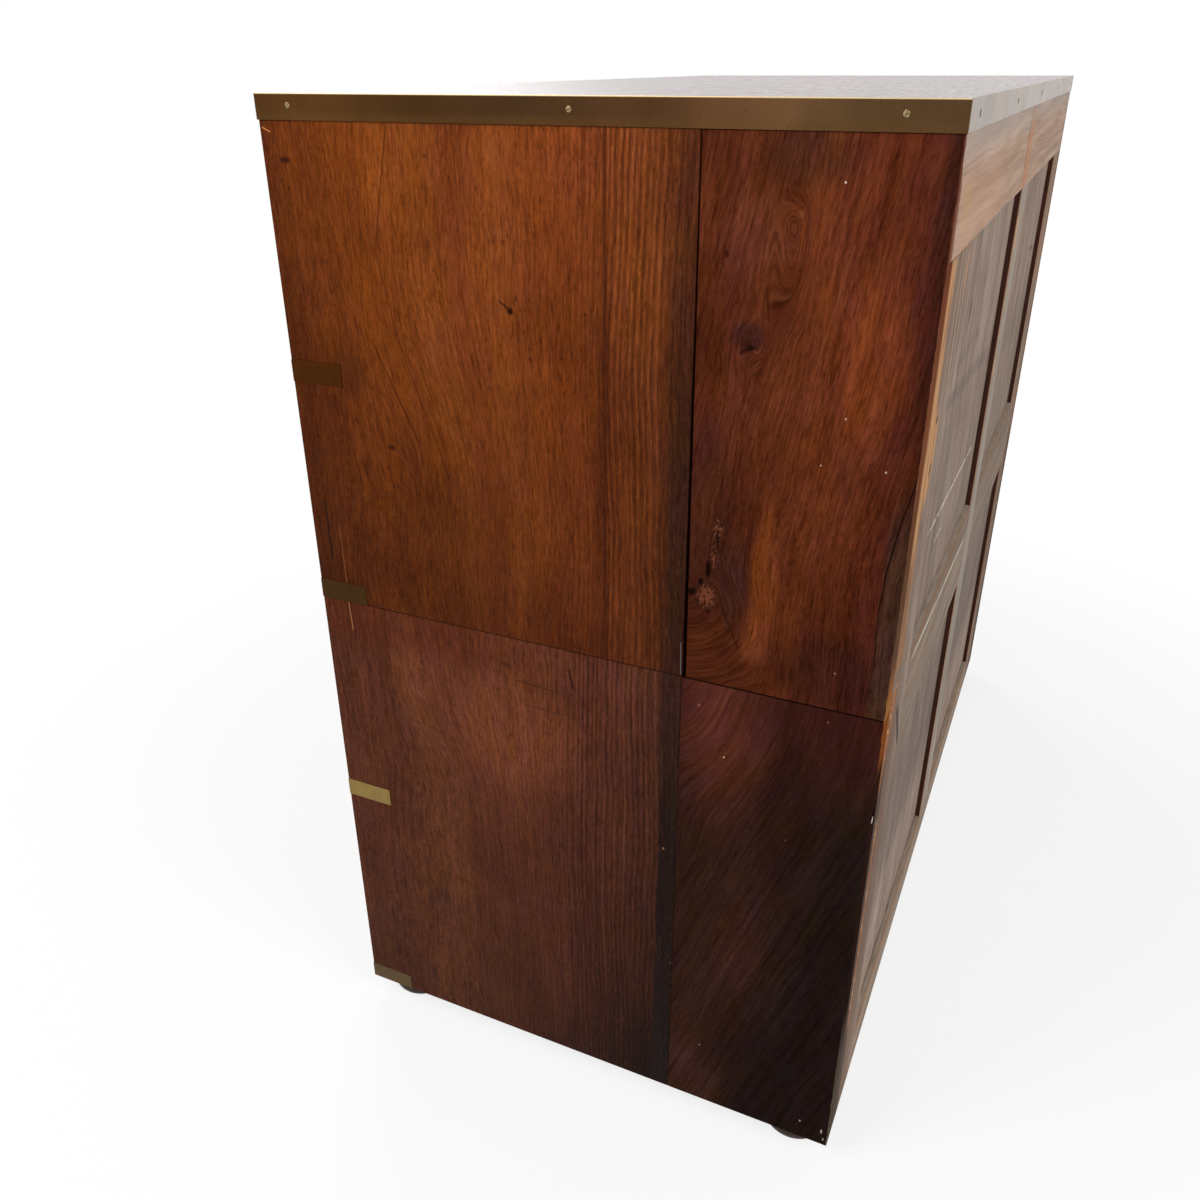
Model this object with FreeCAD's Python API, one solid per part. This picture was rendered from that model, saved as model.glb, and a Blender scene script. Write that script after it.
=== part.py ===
import FreeCAD, Part
import math
import os

# Two-part campaign chest of drawers, bound in brass.
# Millimetres, +Z up, the front faces -Y, +X is the right hand of someone facing the front.
# The origin is on the floor, under the middle of the chest.

Vec = FreeCAD.Vector
X_AXIS = Vec(1, 0, 0)
Y_AXIS = Vec(0, 1, 0)
Z_AXIS = Vec(0, 0, 1)
FULL_TURN = 360.0

# Overall size of the two cases
case_width = 1040.0
case_depth = 530.0
foot_height = 22.0

# Openings for the drawers, from the lowest row up
bottom_opening = 241.0
middle_opening = 194.0
upper_opening = 189.0
top_opening = 187.0

# Boards of the cases
side_thickness = 20.0
floor_thickness = 19.0
rail_thickness = 19.0
lower_top_thickness = 19.0
top_thickness = 19.0
side_joint_from_front = 364.0
shrink_gap_top = 0.8
shrink_gap_bottom = 3.2
seam_chamfer = 1.0
rail_depth = 70.0
runner_width = 50.0
middle_runner_width = 90.0
divider_thickness = 20.0

# Framed and panelled backs
back_thickness = 16.0
panel_recess = 6.5
panel_lap = 7.0
stile_width = 82.0
muntin_width = 60.0
upper_back_rail_height = 75.0
side_skin = 3.0
lower_back_top_rail_height = 95.0
lower_back_bottom_rail_height = 48.0
stile_shrinkage = 1.4

# Brass edging of the top and straps at the front corners
strip_thickness = 2.0
strip_proud = 1.0
strap_thickness = 2.0
strap_proud = 0.3
strap_side_length = 51.0
strap_front_length = 45.0
strap_fit = 0.05

# Pegs that locate the upper case
peg_width = 16.0
peg_below = 12.0
peg_above = 10.0
peg_fit = 0.1
peg_clearance = 0.5
peg_end_clearance = 1.0
peg_from_side = 140.0
peg_from_front = 265.0
peg_taper = 2.0

# Turned feet
foot_from_edge = 40.0
foot_radius = 34.0
foot_neck_radius = 29.0
foot_sole_radius = 26.0
foot_widest_height = 12.0

# Drawers
drawer_side_clearance = 1.0
drawer_running_clearance = 0.3
drawer_top_clearance = 1.7
drawer_rear_clearance = 14.0
front_thickness = 20.0
drawer_side_thickness = 11.0
drawer_back_thickness = 11.0
drawer_bottom_thickness = 7.0
drawer_bottom_raise = 10.0
drawer_bottom_housing = 5.0
drawer_side_drop = 7.0
drawer_back_drop = 4.0
stop_height = 4.0
stop_width = 34.0
stop_length = 22.0
stop_gap = 0.3
stop_from_drawer_end = 90.0

# Dovetails
front_lap = 5.0
tail_pitch = 50.0
fewest_tails = 2
tail_root_share = 0.56
tail_slope = 1.0 / 7.0

# Flush handles, let into the drawer fronts
plate_width = 100.0
plate_height = 50.0
plate_thickness = 2.0
cup_width = 76.0
cup_height = 34.0
cup_depth = 13.0
cup_side_wall = 3.0
cup_wall = 1.6
bail_gap = 1.6
bail_bar = 6.5
bail_thickness = 5.0
bail_sink = 0.4
bail_foot_gap = 2.0
bail_corner = 9.0
pin_fit = 0.05
pin_end_gap = 0.4
handle_from_drawer_end = 225.0

# Drawer locks
lock_width = 64.0
lock_height = 40.0
lock_thickness = 9.0
lock_selvedge_thickness = 2.0
lock_selvedge_depth = 13.0
keyhole_below_top = 26.0
escutcheon_width = 18.0
escutcheon_above = 9.0
escutcheon_below = 17.0
escutcheon_thickness = 2.0
keyhole_radius = 2.8
keyhole_slot_width = 2.6
keyhole_slot_height = 8.0

# Levels, worked out from the boards and openings
base_z = foot_height
lower_floor_top = base_z + floor_thickness
lower_rail_z = lower_floor_top + bottom_opening
lower_rail_top = lower_rail_z + rail_thickness
lower_top_z = lower_rail_top + middle_opening
seam_z = lower_top_z + lower_top_thickness
upper_floor_top = seam_z + floor_thickness
upper_rail_z = upper_floor_top + upper_opening
upper_rail_top = upper_rail_z + rail_thickness
top_z = upper_rail_top + top_opening
top_surface_z = top_z + top_thickness

# Planes of the case
right_x = case_width / 2.0
front_y = -case_depth / 2.0
back_y = case_depth / 2.0
inner_x = right_x - side_thickness
inner_back_y = back_y - back_thickness
side_joint_y = front_y + side_joint_from_front
upper_back_rail_z = top_z - upper_back_rail_height
lower_back_top_rail_z = seam_z - lower_back_top_rail_height
lower_back_bottom_rail_top = base_z + lower_back_bottom_rail_height
panel_thickness = back_thickness - panel_recess
stile_inner_x = inner_x - stile_width
rail_end_x = right_x - side_skin

made = {}


def box(x0, x1, y0, y1, z0, z1):
    """A box between two corners."""
    return Part.makeBox(x1 - x0, y1 - y0, z1 - z0, Vec(x0, y0, z0))


def mirror_x(shape):
    """The same piece on the other side of the chest."""
    return shape.mirror(Vec(0, 0, 0), X_AXIS)


def prism(points, direction):
    """A closed outline of straight edges, pushed along a direction."""
    outline = Part.makePolygon(points + points[:1])
    return Part.Face(outline).extrude(direction)


def edges_along(shape, axis):
    """The edges of a shape that start off along an axis."""
    return [edge for edge in shape.Edges
            if round(abs(edge.tangentAt(edge.FirstParameter).dot(axis))) == 1]


def keep(name, *solids):
    """Keep the solids of one node for writing."""
    made[name] = Part.makeCompound(list(solids)) if len(solids) > 1 else solids[0]


# Brass straps round the front corners

def corner_strap(z0, height, hand, fit=0.0):
    """An L of strip let into the side and the front edge, at one front corner."""
    outer_x = right_x + strap_proud
    outer_y = front_y - strap_proud
    low = z0 - fit
    high = z0 + height + fit
    depth = strap_thickness + fit
    side_arm = box(right_x - depth, outer_x, outer_y, front_y + strap_side_length + fit, low, high)
    front_arm = box(right_x - strap_front_length - fit, outer_x, outer_y, front_y + depth, low, high)
    strap = side_arm.fuse(front_arm).removeSplitter()
    return strap if hand > 0 else mirror_x(strap)


def straps(levels, fit=0.0):
    """The straps of one case, or with a fit the recesses that they lie in."""
    return [corner_strap(z0, height, hand, fit) for z0, height in levels for hand in (1, -1)]


upper_strap_levels = ((upper_rail_z, rail_thickness), (seam_z, floor_thickness))
lower_strap_levels = ((lower_rail_z, rail_thickness), (base_z, floor_thickness))
upper_recesses = straps(upper_strap_levels, strap_fit)
lower_recesses = straps(lower_strap_levels, strap_fit)


def let_in(board, recesses):
    """Cut the recesses that a board has for the pieces let into it."""
    for recess in recesses:
        board = board.cut(recess)
    return board


# Sides, each of two boards

def side_profile(y, z0, z1, chamfer_top, chamfer_bottom):
    """The section of a side board, with the arris at the seam taken off."""
    points = [Vec(inner_x, y, z0)]
    if chamfer_bottom:
        points += [Vec(right_x - seam_chamfer, y, z0), Vec(right_x, y, z0 + seam_chamfer)]
    else:
        points += [Vec(right_x, y, z0)]
    if chamfer_top:
        points += [Vec(right_x, y, z1 - seam_chamfer), Vec(right_x - seam_chamfer, y, z1)]
    else:
        points += [Vec(right_x, y, z1)]
    return points + [Vec(inner_x, y, z1)]


def make_lower_sides():
    for hand, side in ((1, "right"), (-1, "left")):
        section = side_profile(front_y, base_z, seam_z, True, False)
        board = prism(section, Vec(0, side_joint_from_front, 0))
        section = side_profile(side_joint_y, base_z, seam_z, True, False)
        rear = prism(section, Vec(0, back_y - side_joint_y, 0))
        if hand < 0:
            board = mirror_x(board)
            rear = mirror_x(rear)
        keep("lower_" + side + "_side_front_board", let_in(board, lower_recesses))
        keep("lower_" + side + "_side_rear_board", rear)


def shrinkage_wedge():
    """The gap that has opened between the boards of an upper side, widest at its foot."""
    points = [
        Vec(inner_x, side_joint_y, seam_z),
        Vec(inner_x, side_joint_y + shrink_gap_bottom, seam_z),
        Vec(inner_x, side_joint_y + shrink_gap_top, top_z),
        Vec(inner_x, side_joint_y, top_z),
    ]
    return prism(points, Vec(side_thickness, 0, 0))


def make_upper_sides():
    for hand, side in ((1, "right"), (-1, "left")):
        section = side_profile(front_y, seam_z, top_z, False, True)
        board = prism(section, Vec(0, side_joint_from_front, 0))
        section = side_profile(side_joint_y, seam_z, top_z, False, True)
        rear = prism(section, Vec(0, back_y - side_joint_y, 0))
        rear = rear.cut(shrinkage_wedge())
        rear = rear.cut(box(inner_x, rail_end_x, inner_back_y, back_y, upper_back_rail_z, top_z))
        if hand < 0:
            board = mirror_x(board)
            rear = mirror_x(rear)
        keep("upper_" + side + "_side_front_board", let_in(board, upper_recesses))
        keep("upper_" + side + "_side_rear_board", rear)


# Pegs and their holes

def peg_centres():
    for x in (-right_x + peg_from_side, right_x - peg_from_side):
        yield x, front_y + peg_from_front


def peg(x, y):
    """A square peg glued into the lower case, with its upper end tapered to find its hole."""
    half = peg_width / 2.0
    foot_z = seam_z - peg_below
    head_z = seam_z + peg_above
    return prism([
        Vec(x - half, y - half, foot_z),
        Vec(x + half, y - half, foot_z),
        Vec(x + half, y - half, head_z - peg_taper),
        Vec(x + half - peg_taper, y - half, head_z),
        Vec(x - half + peg_taper, y - half, head_z),
        Vec(x - half, y - half, head_z - peg_taper),
    ], Vec(0, peg_width, 0))


def peg_hole(x, y, clearance, z0, z1):
    """What a board loses for a peg."""
    half = peg_width / 2.0 + clearance
    return box(x - half, x + half, y - half, y + half, z0, z1)


def make_pegs():
    keep("locating_pegs", *[peg(x, y) for x, y in peg_centres()])


# Turned feet

def foot_centres():
    reach_x = right_x - foot_from_edge
    reach_y = case_depth / 2.0 - foot_from_edge
    for x in (-reach_x, reach_x):
        for y in (-reach_y, reach_y):
            yield x, y


def foot():
    """A squat turned foot, glued and screwed under the case."""
    return Part.Face(Part.makePolygon([
        Vec(0, 0, 0),
        Vec(foot_sole_radius, 0, 0),
        Vec(foot_radius, 0, foot_widest_height),
        Vec(foot_neck_radius, 0, foot_height),
        Vec(0, 0, foot_height),
        Vec(0, 0, 0),
    ])).revolve(Vec(0, 0, 0), Z_AXIS, FULL_TURN)


def make_feet():
    feet = []
    for x, y in foot_centres():
        turned = foot()
        turned.translate(Vec(x, y, 0))
        feet.append(turned)
    keep("feet", *feet)


# Floors, tops, rails, divider and runners

def between_sides(z0, thickness, y1):
    return box(-inner_x, inner_x, front_y, y1, z0, z0 + thickness)


def make_lower_case():
    floor = between_sides(base_z, floor_thickness, inner_back_y)
    keep("lower_floor", let_in(floor, lower_recesses))
    rail = box(-inner_x, inner_x, front_y, front_y + rail_depth, lower_rail_z, lower_rail_top)
    keep("lower_drawer_rail", let_in(rail, lower_recesses))
    top = between_sides(lower_top_z, lower_top_thickness, inner_back_y)
    for x, y in peg_centres():
        top = top.cut(peg_hole(x, y, peg_fit, seam_z - peg_below, seam_z))
    keep("lower_top_board", top)
    keep("lower_runners", *side_runners(lower_rail_z))


def side_runners(z0):
    """The runners that carry a drawer along both sides of the case."""
    start = front_y + rail_depth
    right = box(inner_x - runner_width, inner_x, start, inner_back_y, z0, z0 + rail_thickness)
    return [right, mirror_x(right)]


def make_upper_case():
    floor = between_sides(seam_z, floor_thickness, inner_back_y)
    hole_top = seam_z + peg_above + peg_end_clearance
    for x, y in peg_centres():
        floor = floor.cut(peg_hole(x, y, peg_clearance, seam_z, hole_top))
    keep("upper_floor", let_in(floor, upper_recesses))
    rail = box(-inner_x, inner_x, front_y, front_y + rail_depth, upper_rail_z, upper_rail_top)
    keep("upper_drawer_rail", let_in(rail, upper_recesses))
    half = divider_thickness / 2.0
    keep("drawer_divider", box(-half, half, front_y, inner_back_y, upper_rail_top, top_z))
    reach = middle_runner_width / 2.0
    middle = box(-reach, reach, front_y + rail_depth, inner_back_y, upper_rail_z, upper_rail_top)
    keep("upper_runners", middle, *side_runners(upper_rail_z))


def make_top():
    """The top board, with mitred brass strips round its edge."""
    board_x = right_x + strip_proud - strip_thickness
    board_y = back_y + strip_proud - strip_thickness
    outer_x = board_x + strip_thickness
    outer_y = board_y + strip_thickness
    keep("top_board", box(-board_x, board_x, -board_y, board_y, top_z, top_surface_z))
    rise = Vec(0, 0, top_thickness)
    right = prism([
        Vec(board_x, -board_y, top_z),
        Vec(outer_x, -outer_y, top_z),
        Vec(outer_x, outer_y, top_z),
        Vec(board_x, board_y, top_z),
    ], rise)
    rear = prism([
        Vec(-board_x, board_y, top_z),
        Vec(board_x, board_y, top_z),
        Vec(outer_x, outer_y, top_z),
        Vec(-outer_x, outer_y, top_z),
    ], rise)
    keep("side_edge_strips", right, mirror_x(right))
    keep("rear_edge_strip", rear)
    keep("front_edge_strip", rear.mirror(Vec(0, 0, 0), Y_AXIS))


# Backs

def frame_member(x0, x1, z0, z1, laps):
    """A member of a back frame, rebated inside along the edges where a panel lies."""
    member = box(x0, x1, inner_back_y, back_y, z0, z1)
    for lap in laps:
        member = member.cut(lap)
    return member


def panel(x0, x1, z0, z1, lap_top, lap_bottom):
    """A panel that lies in the rebates of its frame, level with the frame's inner face."""
    foot = z0 - (panel_lap if lap_bottom else 0.0)
    head = z1 + (panel_lap if lap_top else 0.0)
    return box(x0 - panel_lap, x1 + panel_lap, inner_back_y, inner_back_y + panel_thickness, foot, head)


def make_upper_back():
    half = muntin_width / 2.0
    right = panel(half, stile_inner_x, seam_z, upper_back_rail_z, True, False)
    panels = [right, mirror_x(right)]
    rail = frame_member(-rail_end_x, rail_end_x, upper_back_rail_z, top_z, panels)
    muntin = frame_member(-half, half, seam_z, upper_back_rail_z, panels)
    stile = frame_member(stile_inner_x, inner_x, seam_z, upper_back_rail_z, panels)
    keep("upper_back_panels", *panels)
    keep("upper_back_rail", rail)
    keep("upper_back_uprights", muntin, stile, mirror_x(stile))


def make_lower_back():
    half = muntin_width / 2.0
    low = lower_back_bottom_rail_top
    high = lower_back_top_rail_z
    right = panel(half, stile_inner_x, low, high, True, True)
    panels = [right, mirror_x(right)]
    top_rail = frame_member(half, stile_inner_x - stile_shrinkage, high, seam_z, panels)
    bottom_rail = frame_member(-stile_inner_x, stile_inner_x, base_z, low, panels)
    muntin = frame_member(-half, half, low, seam_z, panels)
    stile = frame_member(stile_inner_x, inner_x, base_z, seam_z, panels)
    keep("lower_back_panels", *panels)
    keep("lower_back_rails", top_rail, mirror_x(top_rail), bottom_rail)
    keep("lower_back_uprights", muntin, stile, mirror_x(stile))


# Drawers

def dovetails(x0, x1, y_root, length, z0, height):
    """The tails on one end of a drawer side; length is negative towards the front."""
    count = max(fewest_tails, int(height // tail_pitch))
    pitch = height / count
    root = pitch * tail_root_share / 2.0
    tip = root + abs(length) * tail_slope
    tails = []
    for index in range(count):
        middle = z0 + pitch * index + pitch / 2.0
        points = [
            Vec(x0, y_root, middle - root),
            Vec(x0, y_root + length, middle - tip),
            Vec(x0, y_root + length, middle + tip),
            Vec(x0, y_root, middle + root),
        ]
        tails.append(prism(points, Vec(x1 - x0, 0, 0)))
    return tails


def keyhole(x, z):
    """A keyhole, from the face of the front back to the lock."""
    depth = front_thickness - lock_thickness
    bore = Part.makeCylinder(keyhole_radius, depth, Vec(x, front_y, z), Y_AXIS)
    half = keyhole_slot_width / 2.0
    slot = box(x - half, x + half, front_y, front_y + depth, z - keyhole_slot_height, z)
    return bore.fuse(slot).removeSplitter()


def escutcheon_blank(x, z):
    """The plate let in round a keyhole."""
    half = escutcheon_width / 2.0
    return box(x - half, x + half, front_y, front_y + escutcheon_thickness,
               z - escutcheon_below, z + escutcheon_above)


def lock(x, front_top):
    """A drawer lock let into the back of the front, with its plate along the top edge."""
    half = lock_width / 2.0
    back_of_front = front_y + front_thickness
    case = box(x - half, x + half, back_of_front - lock_thickness, back_of_front,
               front_top - lock_height, front_top)
    selvedge = box(x - half, x + half, back_of_front - lock_selvedge_depth, back_of_front,
                   front_top - lock_selvedge_thickness, front_top)
    return case.fuse(selvedge).removeSplitter()


def centred_box(x, z, width, height, depth):
    """A box let in from the face of the front, centred on the handle."""
    return box(x - width / 2.0, x + width / 2.0, front_y, front_y + depth,
               z - height / 2.0, z + height / 2.0)


def handle_housing(x, z):
    """The outside of a handle plate and its cup, which is also the recess in the wood."""
    plate = centred_box(x, z, plate_width, plate_height, plate_thickness)
    outer_width = cup_width + 2.0 * cup_side_wall
    outer_height = cup_height + 2.0 * cup_wall
    cup = centred_box(x, z, outer_width, outer_height, cup_depth + cup_wall)
    return plate.fuse(cup).removeSplitter()


def pivot_height(z):
    """The level of the pins, which leaves the eyes of the bail clear of the top of the cup."""
    return z + cup_height / 2.0 - bail_thickness / 2.0 - bail_gap


def pivot_depth():
    """The pins lie in the middle of the bail's thickness."""
    return front_y + bail_sink + bail_thickness / 2.0


def pin_reach():
    """From the middle of the handle to the end of each pin."""
    return cup_width / 2.0 + cup_side_wall - pin_end_gap


def handle_plate(x, z):
    """A handle plate with a hollow cup, bored on both sides for the pins of the bail."""
    hollow = centred_box(x, z, cup_width, cup_height, cup_depth)
    reach = cup_width / 2.0 + cup_side_wall
    bore = Part.makeCylinder(bail_thickness / 2.0 + pin_fit, 2.0 * reach,
                             Vec(x - reach, pivot_depth(), pivot_height(z)), X_AXIS)
    return handle_housing(x, z).cut(hollow).cut(bore)


def bail(x, z):
    """A flat U-shaped bail that hangs in the cup, with round ends that run on as its pins."""
    reach = cup_width / 2.0 - bail_gap
    inner_reach = reach - bail_bar
    top = pivot_height(z)
    low = z - cup_height / 2.0 + bail_foot_gap
    y0 = front_y + bail_sink
    y1 = y0 + bail_thickness
    plate = box(x - reach, x + reach, y0, y1, low, top)
    low_corners = [edge for edge in edges_along(plate, Y_AXIS) if edge.CenterOfMass.z < z]
    shape = plate.makeFillet(bail_corner, low_corners)
    shape = shape.cut(box(x - inner_reach, x + inner_reach, y0, y1, low + bail_bar, top))
    for hand in (1, -1):
        inside = Vec(x + hand * inner_reach, pivot_depth(), top)
        pin = Part.makeCylinder(bail_thickness / 2.0, pin_reach() - inner_reach, inside, X_AXIS * hand)
        shape = shape.fuse(pin)
    return shape.removeSplitter()


def make_drawer(name, x0, x1, opening_z, opening_height, handle_places, bail_names):
    """One drawer in its opening, with its brasses and bails."""
    left = x0 + drawer_side_clearance
    right = x1 - drawer_side_clearance
    middle = (left + right) / 2.0
    z0 = opening_z + drawer_running_clearance
    front_top = opening_z + opening_height - drawer_top_clearance
    side_top = front_top - drawer_side_drop
    back_top = side_top - drawer_back_drop
    y_front = front_y + front_thickness
    y_rear = inner_back_y - drawer_rear_clearance
    y_back = y_rear - drawer_back_thickness
    bottom_z = z0 + drawer_bottom_raise
    bottom_top = bottom_z + drawer_bottom_thickness
    inner_left = left + drawer_side_thickness
    inner_right = right - drawer_side_thickness
    bottom = box(inner_left - drawer_bottom_housing, inner_right + drawer_bottom_housing,
                 y_front - drawer_bottom_housing, y_rear, bottom_z, bottom_top)
    sides = []
    for side_x0, side_x1 in ((left, inner_left), (inner_right, right)):
        side = box(side_x0, side_x1, y_front, y_back, z0, side_top)
        height = side_top - z0
        tails = dovetails(side_x0, side_x1, y_front, front_lap - front_thickness, z0, height)
        tails += dovetails(side_x0, side_x1, y_back, drawer_back_thickness, z0, height)
        sides.append(side.multiFuse(tails).removeSplitter())
    front = box(left, right, front_y, y_front, z0, front_top)
    back = box(left, right, y_back, y_rear, bottom_top, back_top)
    for side in sides:
        front = front.cut(side)
        back = back.cut(side)
    front = front.cut(bottom)
    sides = [side.cut(bottom) for side in sides]
    centre_z = (z0 + front_top) / 2.0
    drawer_lock = lock(middle, front_top)
    hole = keyhole(middle, front_top - keyhole_below_top)
    escutcheon = escutcheon_blank(middle, front_top - keyhole_below_top)
    brasses = [drawer_lock, escutcheon.cut(hole)]
    front = front.cut(drawer_lock).cut(escutcheon).cut(hole)
    for place, bail_name in zip(handle_places, bail_names):
        front = front.cut(handle_housing(place, centre_z))
        brasses.append(handle_plate(place, centre_z))
        keep(bail_name, bail(place, centre_z))
    keep(name + "_front", front)
    keep(name + "_box", back, *sides)
    keep(name + "_bottom", bottom)
    keep(name + "_brasses", *brasses)


def long_drawer(name, opening_z, opening_height):
    places = (-inner_x + handle_from_drawer_end, inner_x - handle_from_drawer_end)
    bails = (name + "_left_bail", name + "_right_bail")
    make_drawer(name, -inner_x, inner_x, opening_z, opening_height, places, bails)


def make_drawers():
    half = divider_thickness / 2.0
    centre = (half + inner_x) / 2.0
    make_drawer("top_left_drawer", -inner_x, -half, upper_rail_top, top_opening,
                (-centre,), ("top_left_drawer_bail",))
    make_drawer("top_right_drawer", half, inner_x, upper_rail_top, top_opening,
                (centre,), ("top_right_drawer_bail",))
    long_drawer("upper_drawer", upper_floor_top, upper_opening)
    long_drawer("middle_drawer", lower_rail_top, middle_opening)
    long_drawer("bottom_drawer", lower_floor_top, bottom_opening)


# Stops that the drawer fronts close against

def stops(x0, x1, z0):
    y0 = front_y + front_thickness + stop_gap
    blocks = []
    for x in (x0 + stop_from_drawer_end, x1 - stop_from_drawer_end):
        blocks.append(box(x - stop_width / 2.0, x + stop_width / 2.0, y0, y0 + stop_length,
                          z0, z0 + stop_height))
    return blocks


def make_stops():
    half = divider_thickness / 2.0
    upper = stops(-inner_x, -half, upper_rail_top) + stops(half, inner_x, upper_rail_top)
    upper += stops(-inner_x, inner_x, upper_floor_top)
    keep("upper_drawer_stops", *upper)
    lower = stops(-inner_x, inner_x, lower_rail_top) + stops(-inner_x, inner_x, lower_floor_top)
    keep("lower_drawer_stops", *lower)


make_lower_sides()
make_upper_sides()
make_pegs()
make_feet()
make_lower_case()
make_upper_case()
make_top()
make_upper_back()
make_lower_back()
make_drawers()
make_stops()
keep("upper_corner_straps", *straps(upper_strap_levels))
keep("lower_corner_straps", *straps(lower_strap_levels))

os.makedirs("parts", exist_ok=True)
for name, shape in made.items():
    shape.exportStep(os.path.join("parts", name + ".step"))
print(len(made), "nodes,", sum(len(shape.Solids) for shape in made.values()), "solids")
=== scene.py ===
import math
import random
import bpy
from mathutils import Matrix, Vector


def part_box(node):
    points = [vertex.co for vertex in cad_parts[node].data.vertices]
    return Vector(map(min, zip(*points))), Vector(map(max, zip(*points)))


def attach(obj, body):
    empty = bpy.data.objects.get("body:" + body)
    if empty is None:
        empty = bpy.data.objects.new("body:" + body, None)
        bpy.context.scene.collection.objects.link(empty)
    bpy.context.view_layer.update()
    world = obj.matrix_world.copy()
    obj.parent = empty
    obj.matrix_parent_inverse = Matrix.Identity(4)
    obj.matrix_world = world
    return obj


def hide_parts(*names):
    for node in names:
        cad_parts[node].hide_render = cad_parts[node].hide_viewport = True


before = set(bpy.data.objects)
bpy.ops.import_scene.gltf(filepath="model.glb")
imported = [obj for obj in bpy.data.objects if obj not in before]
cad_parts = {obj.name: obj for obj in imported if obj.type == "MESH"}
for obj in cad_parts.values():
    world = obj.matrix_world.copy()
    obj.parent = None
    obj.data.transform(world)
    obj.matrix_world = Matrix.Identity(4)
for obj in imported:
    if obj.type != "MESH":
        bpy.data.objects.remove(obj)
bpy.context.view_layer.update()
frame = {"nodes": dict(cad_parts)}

from fnmatch import fnmatch

import bmesh
import bpy
from mathutils import Matrix, Vector

nodes = frame["nodes"]

MM = 0.001


# The camera, where the photograph was taken from, in metres. The image is 1200 pixels square.

CAMERA_PLACE = (1.2316, 0.3540, 0.9670)
CAMERA_YAW = math.radians(204.808)
CAMERA_PITCH = math.radians(-26.871)
CAMERA_ROLL = math.radians(-0.295)
FOCAL_PIXELS = 1062.5
IMAGE_PIXELS = 1200
SENSOR_WIDTH = 36


# Levels and planes of the chest in millimetres, read from the frame

def corner(node, which, axis):
    """One coordinate of a node's lowest (0) or highest (1) corner, in millimetres."""
    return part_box(node)[which][axis] / MM


FRONT = corner("lower_right_side_front_board", 0, 1)
JOINT = corner("lower_right_side_rear_board", 0, 1)
BACK = corner("lower_right_side_rear_board", 1, 1)
SIDE = corner("lower_right_side_front_board", 1, 0)
BASE = corner("lower_right_side_front_board", 0, 2)
SEAM = corner("upper_right_side_front_board", 0, 2)
TOP = corner("upper_right_side_front_board", 1, 2)
SURFACE = corner("top_board", 1, 2)
STRIP_SIDE = corner("side_edge_strips", 1, 0)
STRIP_BACK = corner("rear_edge_strip", 1, 1)
STRIP_FRONT = corner("front_edge_strip", 0, 1)
STRAP_SIDE = corner("upper_corner_straps", 1, 0)
STRAP_FRONT = corner("upper_corner_straps", 0, 1)
RAILS = [corner(rail, 0, 2) for rail in ("lower_drawer_rail", "upper_drawer_rail")]
STRAP_HEIGHT = corner("lower_drawer_rail", 1, 2) - RAILS[0]


def srgb(red, green, blue):
    """A colour as a screen shows it, 0 to 255, in the linear numbers that a shader takes."""
    def linear(value):
        share = value / 255
        return share / 12.92 if share <= 0.04045 else ((share + 0.055) / 1.055) ** 2.4
    return (linear(red), linear(green), linear(blue), 1)


# Shader arithmetic

class Field:
    """A number or colour that varies over a surface. Arithmetic on it adds shader nodes."""

    def __init__(self, nodes, socket):
        self.nodes = nodes
        self.socket = socket

    def __add__(self, other):
        return self.nodes.math("ADD", self, other)

    __radd__ = __add__

    def __sub__(self, other):
        return self.nodes.math("SUBTRACT", self, other)

    def __rsub__(self, other):
        return self.nodes.math("SUBTRACT", other, self)

    def __mul__(self, other):
        return self.nodes.math("MULTIPLY", self, other)

    def __truediv__(self, other):
        return self.nodes.math("DIVIDE", self, other)

    def __pow__(self, other):
        return self.nodes.math("POWER", self, other)

    def __abs__(self):
        return self.nodes.math("ABSOLUTE", self)


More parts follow.
